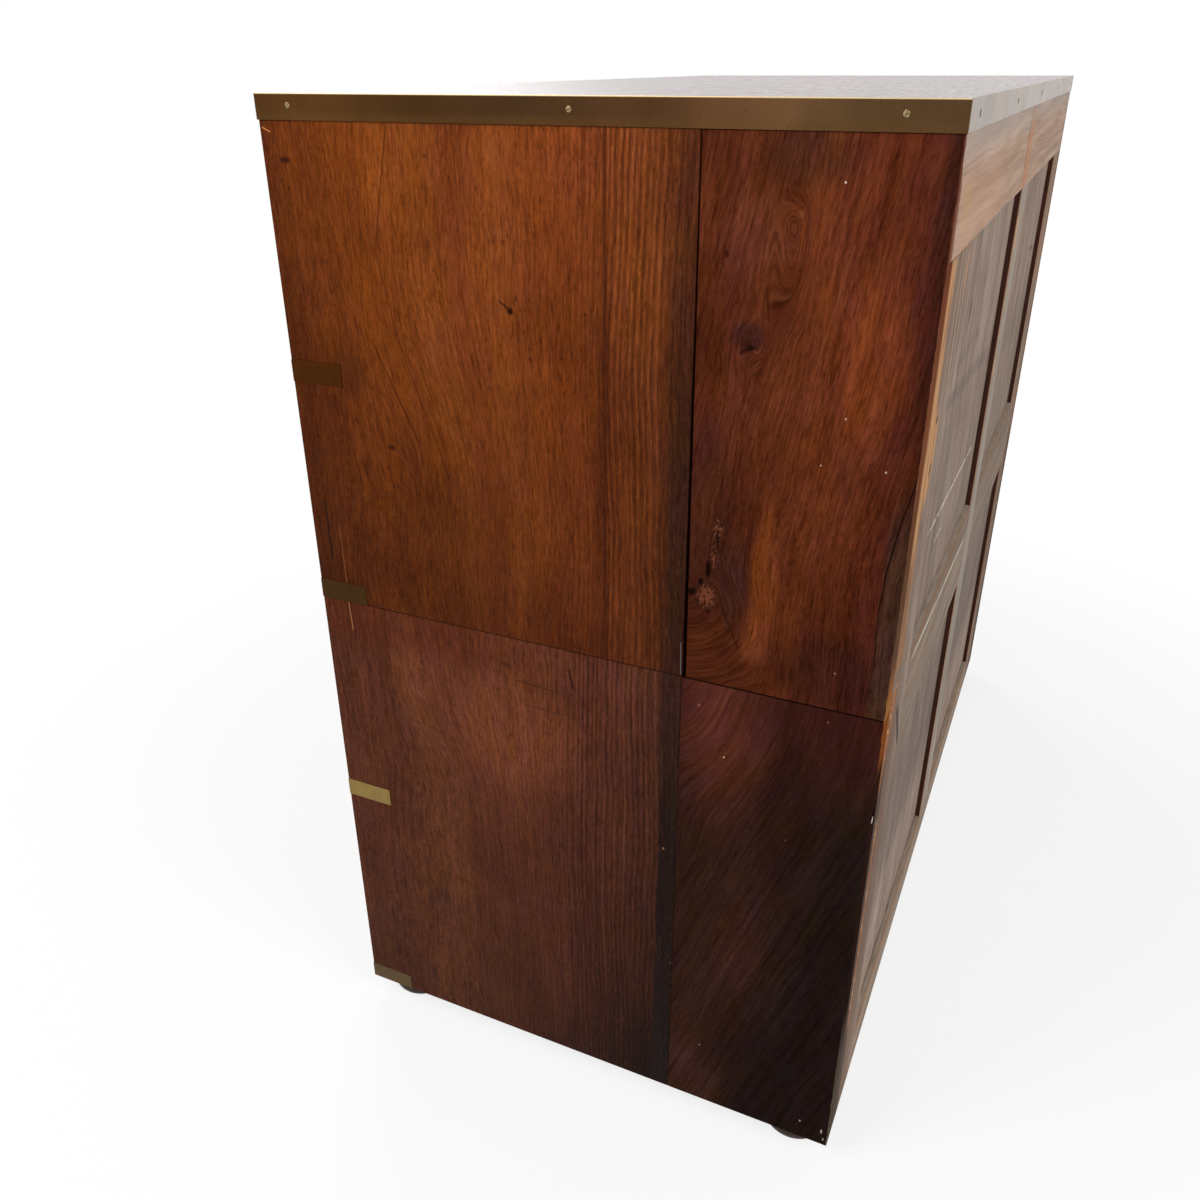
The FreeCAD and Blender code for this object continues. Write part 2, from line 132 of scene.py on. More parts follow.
class Nodes:
    """The shader nodes of a material or a world."""

    def __init__(self, tree):
        self.tree = tree

    def node(self, kind, **settings):
        made = self.tree.nodes.new(kind)
        for name, value in settings.items():
            setattr(made, name, value)
        return made

    def feed(self, socket, value):
        """Link a field to a socket, or set a constant on it."""
        if isinstance(value, Field):
            self.tree.links.new(value.socket, socket)
        else:
            socket.default_value = value

    def math(self, operation, *values):
        made = self.node("ShaderNodeMath", operation=operation)
        for socket, value in zip(made.inputs, values):
            self.feed(socket, value)
        return Field(self, made.outputs[0])

    def high(self, first, *others):
        """The highest of several fields."""
        for other in others:
            first = self.math("MAXIMUM", first, other)
        return first

    def length(self, across, along):
        return self.math("SQRT", across * across + along * along)

    def rise(self, value, low, high):
        """0 up to low and 1 from high, smooth between. It falls where low is above high."""
        made = self.node("ShaderNodeMapRange", interpolation_type="SMOOTHSTEP")
        self.feed(made.inputs["Value"], value)
        self.feed(made.inputs["From Min"], low)
        self.feed(made.inputs["From Max"], high)
        return Field(self, made.outputs[0])

    def band(self, value, low, high, soft):
        """1 between low and high, fading over soft at both ends."""
        return self.rise(value, low - soft, low + soft) * self.rise(value, high + soft, high - soft)

    def vector(self, *values):
        made = self.node("ShaderNodeCombineXYZ")
        for socket, value in zip(made.inputs, values):
            self.feed(socket, value)
        return Field(self, made.outputs[0])

    def noise(self, across, along, depth, detail=2, roughness=0.5):
        """Smooth noise round 0.5, with one wave about every 1 of each coordinate."""
        made = self.node("ShaderNodeTexNoise")
        self.feed(made.inputs["Vector"], self.vector(across, along, depth))
        made.inputs["Scale"].default_value = 1
        made.inputs["Detail"].default_value = detail
        made.inputs["Roughness"].default_value = roughness
        return Field(self, made.outputs["Fac"])

    def mix(self, amount, first, second, blend="MIX"):
        made = self.node("ShaderNodeMix", data_type="RGBA", blend_type=blend)
        colours = [socket for socket in made.inputs if socket.type == "RGBA"]
        result = [socket for socket in made.outputs if socket.type == "RGBA"]
        self.feed(made.inputs["Factor"], amount)
        self.feed(colours[0], first)
        self.feed(colours[1], second)
        return Field(self, result[0])

    def tint(self, colour, tone):
        """A colour multiplied by another."""
        return self.mix(1, colour, tone, "MULTIPLY")

    def ramp(self, value, *stops):
        """A run of colours, each stop a place from 0 to 1 and a colour as a screen shows it."""
        made = self.node("ShaderNodeValToRGB")
        self.feed(made.inputs[0], value)
        elements = made.color_ramp.elements
        elements.remove(elements[1])
        for number, (place, colour) in enumerate(stops):
            element = elements.new(place) if number else elements[0]
            element.position = place
            element.color = srgb(*colour)
        return Field(self, made.outputs["Color"])

    def shade(self, colour, level, warmth=0.15):
        """A colour made lighter or darker. Darker goes redder by the warmth."""
        return self.tint(colour, self.vector(level, level ** (1 + warmth), level ** (1 + 2 * warmth)))

    def seen(self):
        """1 where the eye looks, also by reflection or through glass, and 0 for the light on other things."""
        rays = self.node("ShaderNodeLightPath")
        kinds = ("Is Camera Ray", "Is Glossy Ray", "Is Transmission Ray")
        return self.high(*[Field(self, rays.outputs[kind]) for kind in kinds])


class Paint(Nodes):
    """One material, with the place on the object in millimetres as x, y and z."""

    def __init__(self, name):
        self.material = bpy.data.materials.new(name)
        self.material.use_nodes = True
        super().__init__(self.material.node_tree)
        self.shader = self.tree.nodes["Principled BSDF"]
        place = self.node("ShaderNodeTexCoord")
        axes = self.node("ShaderNodeSeparateXYZ")
        self.tree.links.new(place.outputs["Object"], axes.inputs[0])
        self.x, self.y, self.z = [Field(self, output) / MM for output in axes.outputs]

    def finish(self, colour, roughness, relief=None, metallic=0, specular=0.5):
        """Connect the shader. The relief is in millimetres."""
        self.feed(self.shader.inputs["Base Color"], colour)
        self.feed(self.shader.inputs["Roughness"], roughness)
        self.shader.inputs["Metallic"].default_value = metallic
        self.shader.inputs["Specular IOR Level"].default_value = specular
        if relief is not None:
            bump = self.node("ShaderNodeBump")
            bump.inputs["Distance"].default_value = MM
            self.feed(bump.inputs["Height"], relief)
            self.tree.links.new(bump.outputs["Normal"], self.shader.inputs["Normal"])
        return self.material


# Wood

class Wood(Paint):
    """A board, with one coordinate across its grain, one along it and one through it, as the axes say."""

    def __init__(self, name, seed, axes):
        super().__init__(name)
        places = {"x": self.x, "y": self.y, "z": self.z}
        self.across, self.along, self.through = [places[axis] for axis in axes]
        self.depth = self.through / 25 + seed

    def sway(self, width, length):
        """A slow drift of the grain, from -0.5 to 0.5."""
        return self.noise(self.across / width, self.along / length, self.depth) - 0.5

    def patched(self, base, width, length, contrast, level, warmth=0.1):
        """A base colour in lighter and darker patches."""
        patches = self.noise(self.across / width, self.along / length, self.depth + 2, 3)
        return self.shade(base, patches * contrast + level, warmth)

    def two_tone(self, grain, light, dark):
        """A base colour in broad bands of two tones."""
        share = self.wave(grain, 26, 400) * 0.5 + 0.5
        return self.mix(self.rise(share, 0, 1), dark, light)

    def wave(self, grain, width, length, detail=2):
        """Noise drawn out along the grain, from -1 to 1."""
        found = self.noise(grain / width, self.along / length, self.depth, detail)
        return found * 4 - 2

    def specks(self, grain, width, length, share):
        """Sparse short marks along the grain. A lower share gives fewer."""
        found = self.noise(grain / width, self.along / length, self.depth + 7, 1)
        return self.rise(found, 0.75 - share, 0.83 - share)

    def spot(self, centre, size, soft, across=None):
        """An oval mark, 1 at its middle, fading out over the outer part that soft gives."""
        across = ((across or self.across) - centre[0]) / size[0]
        along = (self.along - centre[1]) / size[1]
        return self.rise(self.length(across, along), 1, 1 - soft)

    def line(self, start, end, width):
        """A straight thin mark between two places."""
        run = (end[0] - start[0], end[1] - start[1])
        length = math.hypot(*run)
        unit = (run[0] / length, run[1] / length)
        across = self.across - start[0]
        along = self.along - start[1]
        beside = abs(across * unit[1] - along * unit[0])
        on = across * unit[0] + along * unit[1]
        return self.rise(beside, width, width / 2) * self.band(on, 0, length, width)

    def round_knot(self, grain, centre, radius, stretch):
        """The grain parted round a knot, drawn out along the board by the stretch."""
        across = self.across - centre[0]
        along = (self.along - centre[1]) / stretch
        near = across * across + along * along + radius * radius / 4
        return grain - across * (radius * radius) / near

    def figure(self, base, grain, bands=0.08, streaks=0.16, fibres=0.34, mottle=0.15, pores=0.6, flecks=0.1):
        """Bands, streaks, fibres and mottle over a base colour, with dark pores and light flecks."""
        level = 1 + self.wave(grain, 14, 420) * bands
        level = level + self.wave(grain, 3.4, 120) * streaks
        level = level + self.wave(grain, 1.6, 17, 3) * fibres
        level = level + self.wave(grain, 2.6, 6) * mottle + self.wave(grain, 0.8, 7) * mottle * 0.6
        hue = self.wave(grain + 70, 16, 46, 3) * 0.6 + 0.5
        colour = self.shade(base, self.math("MAXIMUM", level, 0.1))
        colour = self.tint(colour, self.mix(hue, (1.04, 0.99, 0.70, 1), (1, 0.93, 1.22, 1)))
        crowd = self.rise(self.noise(grain / 22, self.along / 60, self.depth + 3), 0.34, 0.66)
        short = self.specks(grain, 1, 6, 0.17) * crowd
        long = self.specks(grain + 20, 1.2, 22, 0.12)
        colour = self.mix(self.high(short, long) * pores, colour, self.mix(0.8, colour, srgb(34, 12, 7)))
        light = self.specks(grain + 50, 1.2, 9, 0.13) * (1 - crowd) * flecks
        return self.mix(light, colour, self.mix(0.5, colour, srgb(214, 140, 84)))

    def ribbons(self, base, grain, pitch, share, depth):
        """Straight stripes at about one pitch, over part of a board."""
        sway = self.wave(grain, 10, 700)
        even = self.math("SINE", (grain + sway * 1.2) * (2 * math.pi / pitch))
        level = even * 0.7 + self.wave(grain, pitch * 0.5, 600, 1) * 0.8
        level = level + self.wave(grain, 1.1, 60) * 0.3
        return self.shade(base, 1 + level * share * depth, 0.1)

    def marked(self, colour, *marks):
        """Straight marks, each a start, an end, a half width, a colour and a strength."""
        for start, end, width, tone, strength in marks:
            colour = self.mix(self.line(start, end, width) * strength, colour, srgb(*tone))
        return colour

    def spotted(self, colour, *spots):
        """Oval spots, each a centre, a half size, a colour and a strength."""
        for centre, size, tone, strength in spots:
            colour = self.mix(self.spot(centre, size, 0.6) * strength, colour, srgb(*tone))
        return colour


def polish(wood, colour, grain, roughness=0.42, specular=0.03, dents=0):
    """Old wax polish over open pores, and over dents in millimetres, which are below 0."""
    relief = wood.wave(grain, 1.1, 14) * 0.03 + dents
    rough = wood.wave(grain, 3, 40) * 0.06 + roughness
    return wood.finish(colour, rough, relief, specular=specular)


def side_wood(name, seed):
    """A side board, with places in millimetres behind its case's front edge and above the floor."""
    wood = Wood(name, seed, "yzx")
    wood.across = wood.across - FRONT
    return wood


def rear_edge(wood, colour, stops, scraps):
    """A side board's colour with bare wood along its back edge, and where that wood is laid bare."""
    bare = wood.ramp((wood.along - BASE) / (TOP - BASE), *stops)
    bare = wood.shade(bare, 1 + wood.noise(wood.x / 1.6, wood.along / 24, 2, 3) * 1.2 - 0.6, 0.3)
    ragged = wood.noise(wood.x / 3, wood.along / 7, 5, 3) * 5 - 2.5
    torn = wood.rise(wood.across + ragged * scraps, BACK - FRONT - 0.9, BACK - FRONT - 0.3)
    return wood.mix(torn, colour, bare), torn


def seam(wood, colour, strength):
    """The dark line where the two cases meet."""
    return wood.mix(wood.rise(abs(wood.along - SEAM), 1.1, 0.3) * strength, colour, srgb(16, 8, 6))


def upper_front_side():
    """The long warm board of the upper case, with a striped edge beside the joint."""
    wood = side_wood("upper_front_side_wood", 3)
    bend = wood.rise(wood.along, 820, 640) * wood.band(wood.across, 70, 200, 60)
    grain = wood.across + wood.sway(140, 220) * 20 - bend * 34
    place = (grain + wood.wave(grain, 18, 300) * 7) / (JOINT - FRONT)
    base = wood.ramp(
        place,
        (0.00, (92, 43, 13)), (0.12, (112, 55, 17)), (0.25, (126, 64, 20)), (0.40, (132, 70, 27)),
        (0.47, (118, 58, 24)), (0.56, (132, 69, 28)), (0.70, (124, 61, 24)), (0.80, (120, 60, 25)),
        (0.91, (112, 58, 25)), (1.00, (94, 48, 22)))
    base = wood.patched(base, 70, 90, 0.9, 0.55, 0.2)
    # Lighter at the top and darker towards the bottom: partly the board's own tone, partly painted sheen and
    # falloff of the light.
    tone_and_falloff_shade = (930 - wood.along) / 400 * 0.52
    base = wood.shade(base, 0.97 - tone_and_falloff_shade, 0.08)
    base = wood.shade(base, 1 - wood.spot((128, 590), (70, 190), 1) * 0.3, 0.1)
    striped = wood.rise(wood.across, 291, 299) * 0.65 + wood.rise(wood.across, 215, 288) * 0.35
    base = wood.ribbons(base, grain, 4.9, striped, 0.30)
    base = wood.shade(base, 1 - wood.band(wood.across, 288, 296.5, 5) * 0.22, 0.1)
    edge = wood.rise(wood.across + wood.wave(grain, 5, 300) * 3, 336, 356)
    base = wood.mix(edge * (wood.rise(wood.along, 960, 660) * 0.62 + 0.2), base, srgb(44, 24, 16))
    colour = seam(wood, wood.figure(base, grain), 0.4)
    colour = wood.marked(
        colour,
        ((118, 926), (98, 836), 0.7, (64, 26, 8), 0.7),
        ((98, 836), (113, 764), 0.7, (64, 26, 8), 0.6),
        ((113, 764), (152, 654), 0.7, (64, 26, 8), 0.6),
        ((86, 765), (125, 681), 1, (66, 26, 9), 0.65),
        ((295.3, 930), (295, 520), 2, (58, 22, 8), 0.6),
        ((16.5, 614), (16.5, 555), 1.5, (30, 16, 10), 0.8),
        ((2.3, 922.8), (9.6, 919.4), 0.6, (196, 128, 70), 0.9),
        ((207, 806), (215.5, 800.5), 1.2, (44, 16, 8), 0.7),
        ((29, 590), (30, 514), 0.5, (150, 92, 54), 0.5),
        # The pale line down the joint just above the seam is a painted glint.
        ((362.2, 546), (362.9, 516), 0.5, (140, 138, 142), 0.35),
        ((255, 514), (256, 548), 0.8, (60, 24, 12), 0.5))
    colour = wood.spotted(
        colour,
        ((20.7, 899.5), (7, 3.4), (52, 24, 8), 0.9),
        ((216.5, 799), (3.6, 3.8), (36, 12, 6), 0.95),
        ((218, 785), (1, 9), (60, 22, 8), 0.6),
        ((221.7, 809.3), (1.6, 3.2), (60, 22, 8), 0.7),
        ((232.5, 763.9), (2, 3.6), (60, 22, 8), 0.7),
        ((259.2, 767.4), (2.2, 2.8), (62, 22, 8), 0.7),
        ((279.1, 801.5), (2, 2.4), (62, 22, 8), 0.6),
        ((96, 675), (4.5, 3.4), (48, 18, 8), 0.85),
        ((150, 906), (2, 2), (60, 26, 12), 0.6),
        ((60, 735), (22, 26), (70, 34, 12), 0.45))
    return polish(wood, colour, grain)


def upper_rear_side():
    """The darker swirling board of the upper case, with its knots."""
    wood = side_wood("upper_rear_side_wood", 5)
    lean = wood.math("MAXIMUM", wood.along - 690, -60) * 0.15
    arch = wood.rise(abs(wood.across - 433), 17, 0) * wood.rise(wood.along, 898, 868)
    arch = arch * wood.rise(wood.along, 790, 860)
    grain = wood.across - lean + wood.sway(60, 110) * 12 - arch * 24
    grain = wood.round_knot(grain, (407, 792), 9, 1.5)
    away = wood.length((wood.across - 366) * 1.1, (wood.along - 606) * 0.8)
    bowl = wood.rise(wood.along, 620, 575) * wood.rise(wood.across, 446, 404)
    grain = grain + (away * 1.2 + 340 - grain) * bowl
    place = (wood.across + wood.wave(grain, 14, 200) * 9 - (JOINT - FRONT)) / (BACK - JOINT)
    base = wood.ramp(
        place,
        (0.00, (84, 38, 19)), (0.25, (88, 41, 21)), (0.50, (102, 48, 23)), (0.72, (96, 44, 22)),
        (0.88, (86, 38, 22)), (1.00, (58, 27, 18)))
    base = wood.patched(base, 34, 70, 1.1, 0.45)
    # Darker towards the bottom: partly the board's own tone, partly painted shade of the light falling off.
    tone_and_falloff_shade = wood.rise(wood.along, 900, 520)
    base = wood.shade(base, 0.95 - tone_and_falloff_shade * 0.28, 0)
    base = wood.spotted(
        base,
        ((427, 612), (15, 84), (122, 60, 25), 0.5),
        ((420, 562), (11, 30), (112, 56, 28), 0.5),
        ((380, 660), (28, 100), (56, 28, 21), 0.5),
        ((404, 604), (17, 52), (50, 30, 26), 0.5),
        ((408, 866), (32, 40), (112, 58, 36), 0.4),
        ((438, 914), (42, 26), (70, 38, 27), 0.6),
        ((489, 786), (32, 90), (126, 60, 30), 0.45),
        ((486, 544), (62, 46), (44, 21, 16), 0.6),
        ((404, 797), (17, 15), (50, 25, 18), 0.75))
    bare = wood.rise(wood.across, 512, 519) * wood.rise(wood.along, 715, 650)
    base = wood.mix(bare * 0.75, base, srgb(66, 43, 29))
    base = wood.tint(base, (1, 1.08, 1.24, 1))
    colour = wood.figure(base, grain, bands=0.12, streaks=0.24, pores=0.5, flecks=0.08)
    colour = seam(wood, colour, 0.85)
    colour = wood.marked(
        colour,
        ((471, 862), (451, 771), 0.9, (146, 84, 50), 0.22),
        ((530, 713), (522.3, 677), 0.9, (22, 11, 8), 0.85),
        ((522.3, 677), (516.7, 639), 0.9, (22, 11, 8), 0.85),
        ((516.7, 639), (514.6, 605), 0.8, (22, 11, 8), 0.8),
        ((514.6, 605), (516.5, 560), 0.7, (26, 13, 9), 0.7),
        ((522, 560), (523, 530), 0.6, (26, 13, 9), 0.6),
        ((398, 785), (409, 790.5), 1.6, (34, 14, 10), 0.7),
        ((393, 590), (410, 552), 1, (42, 19, 14), 0.7),
        ((390, 652), (388, 630), 1, (30, 16, 14), 0.6))
    colour = wood.spotted(
        colour,
        ((406, 789.5), (4, 2.4), (28, 12, 9), 0.85),
        ((435, 879), (2.6, 3.4), (140, 80, 52), 0.35),
        ((385.5, 851), (2.6, 3.4), (50, 18, 10), 0.8),
        ((461.3, 898.7), (0.9, 1.1), (234, 210, 186), 0.7),
        ((476.5, 747.5), (0.8, 1.4), (226, 196, 170), 0.5),
        ((462.5, 711.9), (0.8, 1), (226, 196, 170), 0.5),
        ((507.8, 713.3), (0.9, 1.1), (230, 205, 180), 0.6),
        ((488.1, 547.5), (1.1, 1.1), (180, 116, 96), 0.6))
    bark = wood.high(
        wood.spot((389, 650), (13, 30), 0.9) * 0.85,
        wood.spot((387, 628), (10, 34), 0.9) * 0.8,
        wood.spot((382, 592), (22, 28), 0.9) * 0.95)
    crumble = wood.noise(wood.across / 4, wood.along / 7, 3, 3, 0.6)
    colour = wood.mix(wood.rise(crumble * bark, 0.20, 0.44) * 0.75, colour, srgb(46, 24, 18))
    flecks = wood.noise(wood.across / 1.9, wood.along / 3.6 - wood.across / 5, 9, 3, 0.6)
    colour = wood.mix(wood.rise(flecks * bark, 0.37, 0.50) * 0.55, colour, srgb(134, 76, 50))
    # The holes are painted near black: painted shade inside them, over a bump that sinks them.
    shaded_holes = wood.high(
        wood.spot((382.6, 615), (2.8, 10), 0.6), wood.spot((370, 594), (4.6, 4.4), 0.6),
        wood.spot((377, 604), (2.6, 4), 0.6), wood.spot((389, 644), (1.6, 8), 0.6) * 0.7,
        wood.spot((384, 579), (3, 1.6), 0.6) * 0.7)
    colour = wood.mix(shaded_holes * 0.9, colour, srgb(12, 7, 6))
    colour, torn = rear_edge(wood, colour, (
        (0.00, (150, 96, 52)), (0.56, (146, 96, 56)), (0.60, (92, 68, 52)), (0.70, (96, 64, 45)),
        (0.80, (116, 70, 48)), (1.00, (96, 54, 38))), 0.3)
    return polish(wood, colour, grain, 0.42 + torn * 0.58, 0, shaded_holes * -1 + crumble * bark * -0.5)


def lower_front_side():
    """The brown board of the lower case, with a lighter wandering band."""
    wood = side_wood("lower_front_side_wood", 9)
    bend = wood.rise(wood.along, 500, 300) * wood.band(wood.across, 90, 200, 60)
    grain = wood.across + wood.sway(120, 200) * 18 - bend * 42
    place = (grain + wood.wave(grain, 18, 260) * 6) / (JOINT - FRONT)
    base = wood.ramp(
        place,
        (0.00, (80, 42, 28)), (0.16, (84, 44, 28)), (0.24, (103, 58, 36)), (0.32, (95, 51, 33)),
        (0.50, (98, 53, 34)), (0.66, (92, 49, 34)), (0.82, (86, 46, 33)), (1.00, (80, 45, 32)))
    base = wood.patched(base, 60, 100, 0.8, 0.62)
    # Darker towards the bottom and the back: partly the board's own tone, partly painted shade of the light
    # falling off.
    low = wood.math("MAXIMUM", (480 - wood.along) / 460, 0) ** 0.75
    tone_and_falloff_shade = low * (wood.across / 300 * 0.60 + 0.13)
    base = wood.shade(base, 0.93 - tone_and_falloff_shade, 0)
    base = wood.tint(base, (1, 0.98, 0.9, 1))
    near = wood.rise(wood.along, 452, 494) * wood.rise(wood.across, 260, 140)
    base = wood.mix(near * 0.65, base, srgb(80, 35, 16))
    base = wood.spotted(
        base,
        ((200, 415), (84, 84), (116, 64, 39), 0.6),
        ((238, 150), (28, 130), (82, 43, 27), 0.4))
    base = wood.ribbons(base, grain, 4.9, wood.rise(wood.across, 200, 300), 0.32)
    edge = wood.rise(wood.across + wood.wave(grain, 5, 300) * 2, 342, 350)
    base = wood.mix(edge * (wood.rise(wood.along, 560, 300) * 0.25 + 0.65), base, srgb(26, 17, 14))
    colour = seam(wood, wood.figure(base, grain, streaks=0.22), 0.4)
    colour = wood.marked(
        colour,
        ((260, 495), (263.5, 477), 1, (24, 10, 6), 0.95),
        ((206, 472), (250, 469), 0.9, (56, 26, 16), 0.7),
        ((214, 448), (252, 447), 1.2, (60, 30, 20), 0.5),
        ((88, 398), (128, 392), 0.6, (50, 26, 18), 0.6),
        ((200, 372), (238, 368), 0.5, (50, 26, 18), 0.5),
        ((146, 252), (196, 232), 0.6, (46, 24, 18), 0.6),
        ((196, 232), (246, 226), 0.6, (46, 24, 18), 0.6),
        ((29, 514), (30.5, 484), 0.6, (176, 116, 74), 0.75),
        # The dark line just behind the pale crack is a painted shadow beside its raised lip.
        ((31, 514), (32, 470), 0.6, (36, 18, 12), 0.7))
    colour = wood.spotted(
        colour,
        ((196, 486), (7, 4), (56, 28, 18), 0.6),
        ((107, 182), (9, 12), (56, 28, 20), 0.5),
        ((85, 60), (5, 14), (50, 28, 20), 0.6),
        ((352, 330), (1.2, 1.6), (150, 110, 84), 0.8))
    return polish(wood, colour, grain)


def lower_rear_side():
    """The darkest board, with arcs of grain below the seam and leaning grain further down."""
    wood = side_wood("lower_rear_side_wood", 12)
    away = wood.length((wood.across - 330) * 1.2, (wood.along - 600) * 0.62)
    lean = wood.across * 0.94 - wood.along * 0.34 - 95
    grain = away + (lean - away) * wood.rise(wood.along, 450, 320) + wood.sway(60, 110) * 9
    place = wood.across - (wood.along - 250) * 0.2 + wood.wave(grain, 9, 200) * 9
    base = wood.mix(wood.rise(place, 510, 410), srgb(31, 22, 19), srgb(48, 29, 23))
    base = wood.mix(wood.rise(wood.along, 390, 510), base, srgb(54, 26, 20))
    base = wood.spotted(
        base,
        ((428, 240), (30, 70), (60, 34, 26), 0.5),
        ((462, 400), (34, 110), (30, 15, 12), 0.5),
        ((380, 40), (56, 70), (60, 38, 30), 0.7))
    lit = wood.spot((399, 478), (62, 140), 1)
    base = wood.mix(lit, base, srgb(82, 42, 33))
    base = wood.patched(base, 40, 80, 0.7, 0.65)
    colour = wood.figure(base, grain, 0.10, 0.26, 0.24, 0.10, 0.2, 0)
    colour = seam(wood, colour, 0.85)
    colour = wood.spotted(
        colour,
        ((380, 490.6), (1.6, 2.2), (150, 90, 74), 0.5),
        ((403.9, 445.2), (1, 1.1), (224, 190, 170), 0.8),
        ((487.1, 502.7), (1.2, 1.3), (130, 84, 76), 0.6),
        ((462, 376.8), (1, 1), (120, 96, 90), 0.5),
        ((396, 98), (0.9, 1.2), (190, 160, 140), 0.8),
        ((502, 44), (1.2, 1.5), (190, 170, 150), 0.7),
        ((523.5, 40), (1.2, 4), (190, 176, 160), 0.7),
        ((526, 30), (1, 2.4), (190, 176, 160), 0.7))
    colour, torn = rear_edge(wood, colour, (
        (0.00, (86, 76, 66)), (0.13, (80, 70, 60)), (0.20, (38, 24, 19)), (0.485, (46, 27, 20)),
        (0.505, (122, 68, 32)), (1.00, (132, 76, 38))), 0.4)
    colour = wood.mix(torn * wood.spot((514, 423), (5, 7), 0.3, wood.x), colour, srgb(10, 8, 8))
    colour = wood.mix(torn * wood.spot((515, 417), (3.4, 3.6), 0.3, wood.x), colour, srgb(206, 208, 206))
    splinters = torn * wood.noise(wood.x, wood.along / 3, 4)
    return polish(wood, colour, grain, 0.42 + torn * 0.58, 0, splinters * -0.5)


def plain_wood(name, seed, axes, light, dark, roughness, specular, faced=False):
    """Straight-grained wood between two tones. The front of faced wood has the tones of the drawer rails."""
    wood = Wood(name, seed, axes)
    grain = wood.across + wood.through + wood.sway(130, 260) * 24
    base = wood.two_tone(grain, light, dark)
    if faced:
        facing_strip = wood.rise(wood.y, FRONT + 3, FRONT + 2.5)
        base = wood.mix(facing_strip, base, wood.two_tone(grain, warm_brown, dark_red))
    return polish(wood, wood.figure(base, grain), grain, roughness, specular)


def left_side():
    """The boards of the left side, which the photograph doesn't show."""
    wood = side_wood("side_wood_left", 21)
    grain = wood.across + wood.sway(130, 260) * 24
    base = wood.patched(wood.two_tone(grain, warm_brown, dark_red), 60, 90, 0.7, 0.65)
    colour = seam(wood, wood.figure(base, grain), 0.4)
    colour, torn = rear_edge(wood, colour, (
        (0.00, (80, 66, 54)), (0.20, (58, 38, 28)), (0.50, (96, 60, 36)), (0.70, (122, 84, 56)),
        (1.00, (92, 54, 38))), 0.3)
    return polish(wood, colour, grain, 0.42 + torn * 0.58)


def back_wood(name, seed, axes, light, dark, reveal, marks):
    """Bare weathered wood of the back, streaked grey and tan, with a tone of its own in the steps of the
    frame. The pale grey is partly weathering and partly painted sheen; a dark step tone is partly painted
    shade.
    """
    wood = Wood(name, seed, axes)
    grain = wood.across + wood.sway(90, 260) * 30
    stretch = 1 if wood.along is wood.z else 3.5
    share = wood.wave(grain, 30, 500) * 0.35 + wood.wave(grain, 7, 160) * 0.35 + 0.5
    base = wood.mix(wood.rise(share, 0, 1), dark, light)
    # Darker below about 700 mm and again below about 400 mm, and lighter near the floor, where it is painted
    # light that makes up for the light falling off there.
    level = 0.95 - wood.rise(wood.z, 740, 670) * 0.13 - wood.rise(wood.z, 440, 330) * 0.17
    base = wood.shade(base, level + wood.rise(wood.z, 250, 150) * 0.42, 0)
    hue = wood.wave(grain + 90, 50, 300) * 0.5 + 0.5
    base = wood.mix(hue, base, wood.tint(base, (1.04, 0.96, 0.90, 1)))
    level = 1 + wood.wave(grain, 2.2, 60 * stretch, 3) * 0.14
    level = level + wood.wave(grain, 9, 90 * stretch, 3) * 0.20 + wood.wave(grain, 26, 34 * stretch) * 0.10
    colour = wood.shade(base, level, 0.1)
    fine = wood.specks(grain, 2.4, 46 * stretch, 0.10) * (0.6 / stretch)
    cracks = wood.high(fine, wood.specks(grain + 40, 6, 52 * stretch, 0.07) * (0.6 / stretch))
    colour = wood.mix(cracks, colour, srgb(58, 44, 36))
    colour = marks(wood, colour)
    # Where the step tone is dark, it is partly unweathered wood and partly painted shade on the sides of the
    # stiles and under the top rail.
    if reveal:
        arris = wood.band(wood.y, BACK - 1.5, BACK - 0.25, 0.3)
        inner = wood.rise(wood.y, BACK - 0.9, BACK - 1.5)
        colour = wood.mix(arris * 0.6, colour, srgb(190, 140, 100))
        streak = wood.noise(wood.y / 2, wood.along / 30, 3)
        colour = wood.mix(inner, colour, wood.shade(reveal, streak + 0.5))
    rough = wood.wave(grain, 3, 40) * 0.06 + 0.7
    relief = wood.wave(grain, 1.4, 40) * 0.05 - cracks * 0.3
    return wood.finish(colour, rough, relief, specular=0.1)


def top_rail_marks(wood, colour):
    """An orange split near the middle, a worn upper edge, and reddish ends."""
    bent = wood.x + wood.wave(wood.z, 30, 900) * 5 + wood.wave(wood.z, 6, 900) * 1.5
    split = wood.band(bent, 14, 52, 8)
    colour = wood.mix(split * 0.75, colour, srgb(176, 120, 84))
    crack = wood.band(bent, 52, 58, 3)
    colour = wood.mix(crack * wood.rise(wood.z, 858, 880) * 0.8, colour, srgb(70, 44, 32))
    grey = wood.rise(wood.z + wood.wave(wood.x / 30, 2, 90) * 4, 902, 922)
    colour = wood.mix(grey * 0.45, colour, srgb(160, 154, 148))
    warm = wood.band(wood.x, 250, 500, 60) * wood.rise(wood.z, 915, 885)
    colour = wood.mix(warm * 0.35, colour, srgb(190, 146, 118))
    stain = wood.spot((884, 470), (26, 34), 0.9)
    colour = wood.mix(stain * 0.3, colour, srgb(176, 150, 96))
    ragged = wood.noise(wood.x / 4, 3, wood.z / 6, 3) * 8 - 4
    reach = wood.rise(wood.z, 912, 896) * 8
    end = wood.rise(abs(wood.x) + ragged + reach, 514, 518)
    return wood.mix(end * 0.9, colour, srgb(104, 56, 38))


